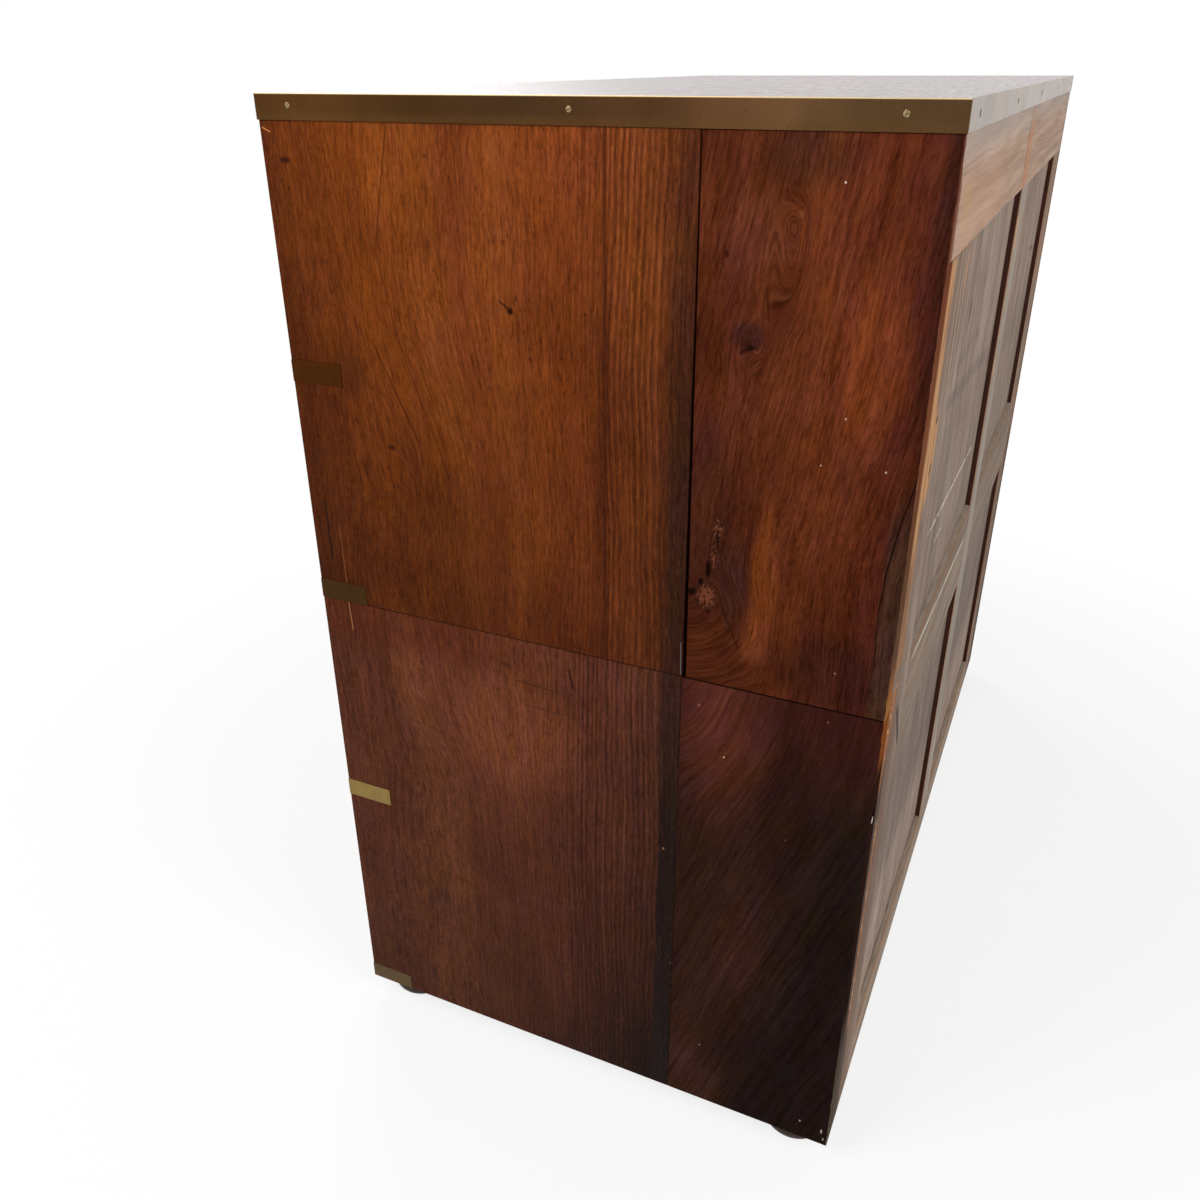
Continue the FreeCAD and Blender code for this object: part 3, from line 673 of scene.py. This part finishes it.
def low_rail_marks(wood, colour):
    """A pale broken streak along the upper rail of the lower back, and a paler stretch of the lower rail."""
    pale = abs(wood.z - 484 - (wood.x - 79) * 0.0767)
    streak = wood.rise(pale, 3.6, 1.6) * wood.band(wood.x, 60, 400, 20)
    broken = wood.noise(wood.x / 40, 5, wood.z / 3, 3)
    colour = wood.mix(streak * wood.rise(broken, 0.30, 0.50) * 0.75, colour, srgb(196, 188, 170))
    pale_low = wood.rise(wood.z, 62, 40) * wood.rise(wood.x, 330, 250)
    return wood.mix(pale_low * 0.3, colour, srgb(150, 142, 132))


def upright_marks(wood, colour):
    """Tan wood laid bare along the outer edges of the stiles, with chips and streaks, a paler muntin, a dark
    slot of painted shade in a shrinkage gap, and a painted shadow under the end of the top rail.
    """
    sway = wood.noise(3, wood.z / 60, 2, 3) * 24 - 12
    fine = wood.noise(wood.x / 3, wood.z / 24, 4, 4, 0.6) * 18 - 9
    edge = 500 - abs(wood.x) + fine
    outer = wood.rise(edge, 80, 40)
    colour = wood.mix(outer * (wood.rise(wood.z, 560, 440) * 0.45 + 0.35), colour, srgb(100, 73, 54))
    wide = wood.band(wood.z, 678, 742, 14) * 24 + wood.rise(wood.z, 604, 560) * 14 + 22
    tan = wood.rise(edge - wide - sway, 5, -5) * wood.band(wood.z, 543, 852, 5)
    tan = tan * (wood.rise(wood.x, -20, 20) * 0.6 + 0.4)
    warmth = wood.noise(wood.x / 9, wood.z / 70, 6, 3)
    bared = wood.ramp(warmth, (0.35, (146, 100, 62)), (0.65, (200, 150, 100)))
    colour = wood.mix(tan * 0.9, colour, wood.shade(bared, 1 - wood.rise(wood.z, 700, 620) * 0.45))
    dark = wood.rise(edge, 24, 17) * wood.rise(wood.z, 470, 436)
    colour = wood.mix(dark * 0.9, colour, srgb(48, 29, 23))
    thin = wood.band(edge + sway * 0.3, 13, 19, 2) * wood.band(wood.z, 150, 392, 10)
    colour = wood.mix(thin * 0.9, colour, srgb(172, 106, 56))
    beads = wood.rise(wood.noise(wood.x / 8, wood.z / 9, 8), 0.58, 0.64)
    colour = wood.mix(beads * thin, colour, srgb(214, 176, 130))
    lump = wood.rise(edge - (wood.z - 430) * 0.24, 7, 2) * wood.band(wood.z, 432, 524, 4)
    brown = wood.ramp(warmth, (0.4, (112, 62, 28)), (0.6, (158, 96, 50)))
    colour = wood.mix(lump * 0.9, colour, brown)
    colour = wood.mix(beads * lump * 0.8, colour, srgb(214, 170, 120))
    # Paler and greyer along the muntin: partly its weathered tone and partly painted sheen.
    pale = wood.rise(abs(wood.x), 60, 40)
    colour = wood.mix(pale * 0.35, colour, srgb(172, 166, 154))
    rub = wood.band(wood.x, 14, 29, 3) * wood.rise(wood.wave(wood.z / 3, 9, 300), -0.1, 0.5)
    colour = wood.mix(rub * wood.rise(wood.z, 560, 680) * 0.6, colour, srgb(204, 152, 108))
    # The dark slot is painted shade in a shrinkage gap below the seam.
    colour = wood.mix(wood.line((455, 490), (418, 432), 5) * 0.9, colour, srgb(42, 30, 24))
    return wood.spotted(
        colour,
        ((465, 738), (7, 5), (60, 44, 36), 0.85),
        ((464, 700), (6, 8), (56, 42, 36), 0.85),
        ((470, 655), (4, 10), (60, 48, 42), 0.7),
        # The thin dark mark at 854 mm is a painted shadow in the gap under the end of the top rail.
        ((488, 854), (14, 2.2), (34, 20, 14), 0.95))


def panel_marks(wood, colour):
    """Scratches, broad dark marks and a bare orange streak on the upper panel."""
    dotted = wood.rise(wood.noise(wood.x / 9, wood.z / 3, 2), 0.42, 0.5)
    scratch = wood.high(
        wood.line((64, 594), (402, 606.5), 1.7),
        wood.line((262, 575.4), (300, 576), 1.3))
    colour = wood.mix(scratch * dotted * 0.95, colour, srgb(214, 206, 190))
    # Broad dark marks across the panel.
    broad_dark_marks = wood.high(
        wood.line((70, 697), (369, 719), 9),
        wood.line((201, 747), (330, 742), 7) * 0.7,
        wood.line((330, 640), (405, 656), 9) * 0.8,
        wood.line((60, 250), (330, 290), 8) * 0.8,
        wood.line((120, 330), (400, 345), 5) * 0.7)
    colour = wood.mix(broad_dark_marks * 0.4, colour, srgb(92, 84, 78))
    return wood.spotted(
        colour,
        ((362, 822), (12, 28), (196, 146, 104), 0.85),
        ((368, 796), (9, 22), (196, 140, 96), 0.75),
        ((385, 814), (4, 24), (74, 52, 42), 0.7),
        ((286, 781), (9, 13), (78, 68, 64), 0.8),
        ((192, 741), (8, 9), (84, 74, 68), 0.7),
        ((-355, 742), (22, 4), (30, 24, 22), 0.95),
        ((302, 371), (24, 7), (70, 58, 50), 0.5),
        ((302, 371), (16, 4.5), (140, 124, 110), 0.6),
        ((281, 207), (26, 4), (60, 50, 44), 0.6),
        ((331, 107), (16, 3), (50, 44, 40), 0.8),
        ((331, 98), (16, 2), (50, 44, 40), 0.6))


def rubbed(paint, colour, contrast, size):
    """Soft clouds, fine rubbing marks and a few dark specks over a metal's colour."""
    clouds = paint.noise(paint.x / size, paint.y / size, paint.z / size, 4, 0.6)
    colour = paint.shade(colour, (clouds - 0.5) * contrast * 4 + 1)
    rub = paint.noise(paint.x / 5, paint.y / 5, paint.z / 0.5, 2)
    colour = paint.shade(colour, (rub - 0.5) * contrast * 1.5 + 1, 0)
    specks = paint.noise(paint.x / 1.6, paint.y / 1.6, paint.z / 1.6, 1)
    return paint.mix(paint.rise(specks, 0.72, 0.78) * 0.7, colour, srgb(40, 28, 14)), clouds, rub


def brass(name, bright, dull, contrast, roughness, size=30):
    """Old brass, from bright to dull in soft clouds."""
    paint = Paint(name)
    share = paint.rise(paint.noise(paint.x / size, paint.z / size, paint.y / size, 3), 0.36, 0.64)
    colour, clouds, rub = rubbed(paint, paint.mix(share, dull, bright), contrast, size)
    return paint.finish(colour, clouds * 0.16 + roughness, rub * 0.015, metallic=1)


def side_strip_brass():
    """Tarnished edging of the side, paler towards the back, with a painted highlight along its upper edge."""
    paint = Paint("side_strip_brass")
    base = paint.ramp(
        (paint.y - FRONT) / (BACK - FRONT),
        (0.00, (84, 54, 26)), (0.12, (88, 57, 27)), (0.28, (72, 47, 25)), (0.44, (70, 48, 28)),
        (0.62, (86, 58, 35)), (0.72, (104, 72, 46)), (0.80, (108, 78, 50)), (0.88, (92, 68, 43)),
        (1.00, (90, 66, 42)))
    base = paint.shade(base, 0.88, 0)
    low = paint.rise(paint.z, 937, 930)
    base = paint.mix(low * 0.35, base, srgb(96, 66, 34))
    colour, clouds, rub = rubbed(paint, base, 0.12, 46)
    # A bright line along the top edge: painted highlight where the edge catches the light.
    colour = paint.mix(paint.rise(paint.z, SURFACE - 1, SURFACE - 0.3), colour, srgb(226, 196, 150))
    return paint.finish(colour, clouds * 0.16 + 0.34, rub * 0.015, metallic=1)


def corner_strap_brass():
    """Straps, each tarnished in its own way: dark and warm above, pale and dull below."""
    paint = Paint("strap_brass")
    base = paint.ramp(
        paint.z / 1000,
        (0.15, (88, 69, 42)), (0.20, (140, 116, 66)), (0.40, (140, 116, 66)), (0.41, (67, 44, 14)),
        (0.60, (67, 44, 14)), (0.61, (72, 37, 6)))
    colour, clouds, rub = rubbed(paint, base, 0.16, 16)
    return paint.finish(colour, clouds * 0.2 + 0.4, rub * 0.015, metallic=1)


# Mesh pieces

def lathe(form, profile, segments):
    """Turn a profile of radius and height about +Z. Points on the axis close it."""
    rings = []
    for radius, height in profile:
        if radius == 0:
            rings.append([form.verts.new((0, 0, height))])
            continue
        angles = [2 * math.pi * step / segments for step in range(segments)]
        rings.append([form.verts.new((radius * math.cos(a), radius * math.sin(a), height)) for a in angles])
    for lower, upper in zip(rings, rings[1:]):
        for step in range(segments):
            after = (step + 1) % segments
            corners = [lower[step % len(lower)], lower[after % len(lower)],
                       upper[after % len(upper)], upper[step % len(upper)]]
            form.faces.new(list(dict.fromkeys(corners)))


def screw_head(size):
    """A slightly domed screw head with one slot, facing +Z from the surface at 0."""
    radius, proud, slot_width, slot_depth = [value * MM for value in size]
    form = bmesh.new()
    rim = [(radius, -SCREW_SUNK * MM), (radius, proud * 0.3), (radius * 0.8, proud * 0.85)]
    lathe(form, [(0, -SCREW_SUNK * MM), *rim, (0, proud)], 24)
    for side in (-0.5, 0.5):
        everything = form.verts[:] + form.edges[:] + form.faces[:]
        bmesh.ops.bisect_plane(form, geom=everything, plane_co=(0, side * slot_width, 0), plane_no=(0, 1, 0))
    inside = [v for v in form.verts if abs(v.co.y) <= slot_width * 0.51 and v.co.z > -0.1 * MM]
    floor = [f for f in form.faces if all(v in inside for v in f.verts) and f.normal.z > 0.5]
    cut = bmesh.ops.extrude_face_region(form, geom=floor)
    for element in cut["geom"]:
        if isinstance(element, bmesh.types.BMVert):
            element.co.z = -slot_depth
    bmesh.ops.delete(form, geom=floor, context="FACES")
    return form


def many(name, form, places, body, material):
    """Copies of one small form at several places, as one piece that rides on a body."""
    small = bpy.data.meshes.new(name + "_one")
    form.to_mesh(small)
    form.free()
    whole = bmesh.new()
    for place in places:
        before = len(whole.verts)
        whole.from_mesh(small)
        whole.verts.ensure_lookup_table()
        bmesh.ops.transform(whole, matrix=place, verts=whole.verts[before:])
    mesh = bpy.data.meshes.new(name)
    whole.to_mesh(mesh)
    whole.free()
    bpy.data.meshes.remove(small)
    mesh.materials.append(material)
    piece = bpy.data.objects.new(name, mesh)
    bpy.context.scene.collection.objects.link(piece)
    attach(piece, body)
    return piece


def facing(place, outward, turn):
    """A matrix that puts a form at a place in millimetres, its +Z outward, turned about it."""
    aim = Vector(outward).to_track_quat("Z", "Y").to_matrix().to_4x4()
    return Matrix.Translation(Vector(place) * MM) @ aim @ Matrix.Rotation(turn, 4, "Z")


RIGHT = (1, 0, 0)
LEFT = (-1, 0, 0)
FORWARD = (0, -1, 0)
REAR = (0, 1, 0)
UP = (0, 0, 1)


# Materials of the whole chest

dark_red = srgb(92, 44, 24)
warm_brown = srgb(132, 68, 32)
# The dark step tone is partly unweathered wood and partly painted shade.
unweathered_and_shaded_step = srgb(64, 36, 28)
pale_step = srgb(158, 142, 126)

lining_wood = plain_wood("drawer_lining_wood", 41, "zyx", srgb(176, 128, 84), srgb(140, 94, 58), 0.7, 0.1)
rail_wood = plain_wood("rail_wood", 35, "zxy", warm_brown, dark_red, 0.42, 0.2)
foot_wood = plain_wood("foot_wood", 63, "xzy", srgb(52, 32, 22), srgb(28, 18, 14), 0.5, 0.2)
side_strip = side_strip_brass()
end_strip = brass("end_strip_brass", srgb(136, 108, 74), srgb(118, 92, 62), 0.03, 0.19, 60)
strap_brass = corner_strap_brass()
handle_brass = brass("handle_brass", srgb(196, 160, 96), srgb(150, 116, 62), 0.16, 0.26)
screw_brass = brass("screw_brass", srgb(166, 150, 110), srgb(112, 94, 60), 0.2, 0.36, 2)
dark_screw = brass("dark_screw_metal", srgb(80, 70, 60), srgb(44, 36, 30), 0.2, 0.5, 2)

# The material of each CAD node, by the first pattern that fits its name

node_materials = (
    ("upper_right_side_front_board", upper_front_side()),
    ("upper_right_side_rear_board", upper_rear_side()),
    ("lower_right_side_front_board", lower_front_side()),
    ("lower_right_side_rear_board", lower_rear_side()),
    ("*_left_side_*", left_side()),
    ("top_board", plain_wood("top_wood", 25, "yxz", srgb(92, 46, 24), srgb(66, 32, 18), 0.20, 0.5)),
    ("side_edge_strips", side_strip),
    ("*_edge_strip", end_strip),
    ("*_straps", strap_brass),
    ("*_brasses", handle_brass),
    ("*_bail", handle_brass),
    ("*_drawer_front", plain_wood(
        "drawer_front_wood", 31, "zxy", srgb(140, 72, 34), srgb(100, 46, 22), 0.38, 0.2)),
    ("*_drawer_box", lining_wood),
    ("*_drawer_bottom", lining_wood),
    ("*_drawer_rail", rail_wood),
    ("drawer_divider", rail_wood),
    # The pale grey of the back's wood is partly weathering and partly painted sheen of light at a grazing
    # angle.
    ("upper_back_rail", back_wood(
        "top_rail_wood", 51, "zxy", srgb(182, 156, 138), srgb(158, 132, 114), unweathered_and_shaded_step, top_rail_marks)),
    ("lower_back_rails", back_wood(
        "low_rail_wood", 53, "zxy", srgb(146, 128, 112), srgb(120, 102, 88), pale_step, low_rail_marks)),
    ("*_back_uprights", back_wood(
        "back_upright_wood", 55, "xzy", srgb(154, 138, 126), srgb(118, 98, 84), unweathered_and_shaded_step, upright_marks)),
    ("*_back_panels", back_wood(
        "back_panel_wood", 59, "xzy", srgb(154, 136, 124), srgb(124, 105, 94), None, panel_marks)),
    ("feet", foot_wood),
    ("*", plain_wood(
        "inner_wood", 47, "yxz", srgb(150, 104, 66), srgb(112, 72, 42), 0.6, 0.1, faced=True)))


def material_of(name):
    """The material of a CAD node."""
    return next(material for pattern, material in node_materials if fnmatch(name, pattern))


def soften_edges(part, width):
    """Merge the faces that lie in one plane, then round the edges a little."""
    part.modifiers.new("weld", "WELD").merge_threshold = 0.01 * MM
    flat = part.modifiers.new("flat", "DECIMATE")
    flat.decimate_type = "DISSOLVE"
    flat.angle_limit = math.radians(0.5)
    bevel = part.modifiers.new("bevel", "BEVEL")
    bevel.width = width
    bevel.segments = 2
    bevel.limit_method = "ANGLE"
    bevel.angle_limit = math.radians(40)
    part.modifiers.new("normals", "WEIGHTED_NORMAL")


WOOD_EDGE = 0.7 * MM
METAL_EDGE = 0.25 * MM

for name, part in nodes.items():
    material = material_of(name)
    for holder in part.material_slots:
        holder.material = material
    metal = material in (side_strip, end_strip, strap_brass, handle_brass)
    soften_edges(part, METAL_EDGE if metal else WOOD_EDGE)


# Feet, with a rounded side that swells out from the sole and back, in millimetres

SOLE_RADIUS = 24
SWELL = 10
SWELL_ANGLE = math.radians(68)
SWELL_STEPS = 12


def turned_feet():
    """Four squat feet that stand for the CAD ones."""
    low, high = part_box("feet")
    height = high.z - low.z
    profile = [(0, 0), (SOLE_RADIUS * MM, 0)]
    for step in range(SWELL_STEPS + 1):
        angle = (2 * step / SWELL_STEPS - 1) * SWELL_ANGLE
        radius = (SOLE_RADIUS + SWELL * math.cos(angle)) * MM
        profile.append((radius, height * (0.5 + 0.5 * math.sin(angle) / math.sin(SWELL_ANGLE))))
    profile.append((0, height))
    form = bmesh.new()
    lathe(form, profile, 48)
    across, along = [reach - (SOLE_RADIUS + SWELL) * MM for reach in (high.x, high.y)]
    places = [Matrix.Translation((x, y, low.z)) for x in (-across, across) for y in (-along, along)]
    piece = many("turned_feet", form, places, "lower_case", foot_wood)
    for face in piece.data.polygons:
        face.use_smooth = True
    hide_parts("feet")


turned_feet()


# Screws and pins in the brass, in millimetres. A head's size is its radius, how far it stands proud, and the
# width and depth of its slot. Its stem goes some way into the brass.

SCREW_SUNK = 0.6
STRIP_SCREW = (2.1, 0.15, 0.6, 0.4)
REAR_SCREW = (2.6, 0.15, 0.8, 0.5)
STRAP_SCREW = (1.6, 0.12, 0.5, 0.3)
PLATE_SCREW = (2.2, 0.12, 0.55, 0.4)
PIN = (0.9, 0.15, 0.1, 0.02)

# Where they are: on the sides behind the front edge, on the front and back from the middle, on the front of a
# strap in from the side, and in a drawer from the middle of the plate or the keyhole

SIDE_SCREWS = (30.4, 268.8, 494.1)
SIDE_SCREW_LIFT = 1
END_SCREWS = (475, 237, 0, -237, -475)
SIDE_STRAP_SCREWS = (12, 36)
SIDE_STRAP_LEVEL = 7.5
FRONT_STRAP_SCREWS = (12, 34)
PLATE_SCREWS = [(x, z) for x in (-44, 44) for z in (-19.5, 19.5)]
ESCUTCHEON_PINS = ((-6.4, 4.5), (6.4, 4.5), (0, -13.6))

# Where the keyhole and the cups are, as the CAD source has them

KEYHOLE_DROP = 26
CUP_HEIGHT = 34
BAIL_FOOT = 2

random.seed(4)


def turns():
    """How far a screw happens to be turned."""
    return random.uniform(0, math.pi)


def edge_screws():
    """Screws round the edge of the top, large dark ones at the back."""
    middle = (TOP + SURFACE) / 2
    places = []
    for side, outward in ((STRIP_SIDE, RIGHT), (-STRIP_SIDE, LEFT)):
        places += [facing((side, FRONT + y, middle + SIDE_SCREW_LIFT), outward, turns()) for y in SIDE_SCREWS]
    places += [facing((x, STRIP_FRONT, middle), FORWARD, turns()) for x in END_SCREWS]
    many("strip_screws", screw_head(STRIP_SCREW), places, "upper_case", screw_brass)
    places = [facing((x, STRIP_BACK, middle), REAR, math.pi / 2) for x in END_SCREWS]
    many("rear_strip_screws", screw_head(REAR_SCREW), places, "upper_case", dark_screw)


def strap_screws():
    """Two screws in the front of each corner strap, and two in the side of those just above the seam."""
    places = {"upper_case": [], "lower_case": []}
    for side, outward in ((1, RIGHT), (-1, LEFT)):
        for y in SIDE_STRAP_SCREWS:
            place = (side * STRAP_SIDE, FRONT + y, SEAM + SIDE_STRAP_LEVEL)
            places["upper_case"].append(facing(place, outward, turns()))
        for low in (BASE, *RAILS, SEAM):
            body = "upper_case" if low >= SEAM else "lower_case"
            for x in FRONT_STRAP_SCREWS:
                place = (side * (SIDE - x), STRAP_FRONT, low + STRAP_HEIGHT / 2)
                places[body].append(facing(place, FORWARD, turns()))
    for body, heads in places.items():
        many(body + "_strap_screws", screw_head(STRAP_SCREW), heads, body, strap_brass)


def drawer_fasteners(drawer):
    """Screws in the corners of the handle plates, and pins round the escutcheon."""
    heads = []
    for bail in [name for name in nodes if name.startswith(drawer) and name.endswith("_bail")]:
        low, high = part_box(bail)
        middle = (low.x + high.x) / 2 / MM
        level = low.z / MM + CUP_HEIGHT / 2 - BAIL_FOOT
        heads += [facing((middle + x, FRONT, level + z), FORWARD, turns()) for x, z in PLATE_SCREWS]
    many(drawer + "_plate_screws", screw_head(PLATE_SCREW), heads, drawer, screw_brass)
    low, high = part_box(drawer + "_front")
    middle = (low.x + high.x) / 2 / MM
    level = high.z / MM - KEYHOLE_DROP
    pins = [facing((middle + x, FRONT, level + z), FORWARD, 0) for x, z in ESCUTCHEON_PINS]
    many(drawer + "_escutcheon_pins", screw_head(PIN), pins, drawer, screw_brass)


edge_screws()
strap_screws()
for drawer in ("top_left_drawer", "top_right_drawer", "upper_drawer", "middle_drawer", "bottom_drawer"):
    drawer_fasteners(drawer)


# Floor, light and camera

def build_floor():
    """A pale floor that keeps the shadow near the chest and fades to white further off."""
    form = bmesh.new()
    bmesh.ops.create_grid(form, x_segments=8, y_segments=8, size=8)
    mesh = bpy.data.meshes.new("floor")
    form.to_mesh(mesh)
    form.free()
    floor = bpy.data.objects.new("floor", mesh)
    bpy.context.scene.collection.objects.link(floor)
    paint = Paint("floor_paint")
    tree = paint.tree
    grain = paint.noise(paint.x / 3, paint.y / 3, 0, 3)
    pale = paint.mix(grain, srgb(246, 246, 246), srgb(250, 250, 250))
    paint.finish(pale, 0.9, specular=0)
    away = paint.length(paint.x, paint.y)
    white = paint.node("ShaderNodeEmission")
    blend = paint.node("ShaderNodeMixShader")
    paint.feed(blend.inputs[0], paint.seen() * (paint.rise(away, 650, 1300) * 0.22 + 0.78))
    tree.links.new(paint.shader.outputs[0], blend.inputs[1])
    tree.links.new(white.outputs[0], blend.inputs[2])
    tree.links.new(blend.outputs[0], tree.nodes["Material Output"].inputs["Surface"])
    mesh.materials.append(paint.material)


def build_world(strength):
    """White for the eye and for reflections, and a plain soft light for everything else."""
    world = bpy.data.worlds.new("studio")
    world.use_nodes = True
    background = world.node_tree.nodes["Background"]
    background.inputs["Color"].default_value = (1, 1, 1, 1)
    sky = Nodes(world.node_tree)
    sky.feed(background.inputs["Strength"], sky.seen() * (1 - strength) + strength)
    bpy.context.scene.world = world


def area_light(name, place, target, size, power):
    """A round lamp that shines from a place to a target."""
    lamp = bpy.data.lights.new(name, "AREA")
    lamp.shape = "DISK"
    lamp.size = size
    lamp.energy = power
    lamp_object = bpy.data.objects.new(name, lamp)
    lamp_object.location = place
    lamp_object.rotation_euler = (Vector(target) - Vector(place)).to_track_quat("-Z", "Y").to_euler()
    bpy.context.scene.collection.objects.link(lamp_object)


def build_camera():
    """The camera of the photograph."""
    ahead = Vector((math.cos(CAMERA_PITCH) * math.cos(CAMERA_YAW),
                    math.cos(CAMERA_PITCH) * math.sin(CAMERA_YAW),
                    math.sin(CAMERA_PITCH)))
    level_right = ahead.cross(Vector(UP)).normalized()
    level_up = level_right.cross(ahead)
    right = level_right * math.cos(CAMERA_ROLL) + level_up * math.sin(CAMERA_ROLL)
    up = level_up * math.cos(CAMERA_ROLL) - level_right * math.sin(CAMERA_ROLL)
    lens = bpy.data.cameras.new("camera")
    lens.sensor_width = SENSOR_WIDTH
    lens.lens = FOCAL_PIXELS / IMAGE_PIXELS * SENSOR_WIDTH
    camera = bpy.data.objects.new("camera", lens)
    bpy.context.scene.collection.objects.link(camera)
    turned = Matrix((right, up, -ahead)).transposed().to_4x4()
    camera.matrix_world = Matrix.Translation(CAMERA_PLACE) @ turned
    bpy.context.scene.camera = camera


build_floor()
build_world(0.45)
area_light("key", (2.6, -1.8, 2.6), (0.3, 0, 0.5), 2, 62)
area_light("rear", (1.2, 2.8, 2.4), (0, 0.2, 0.5), 2, 50)
area_light("front_left", (-2.4, -2.2, 2.4), (-0.2, 0, 0.5), 2, 42)
build_camera()
bpy.context.scene.view_settings.view_transform = "Standard"
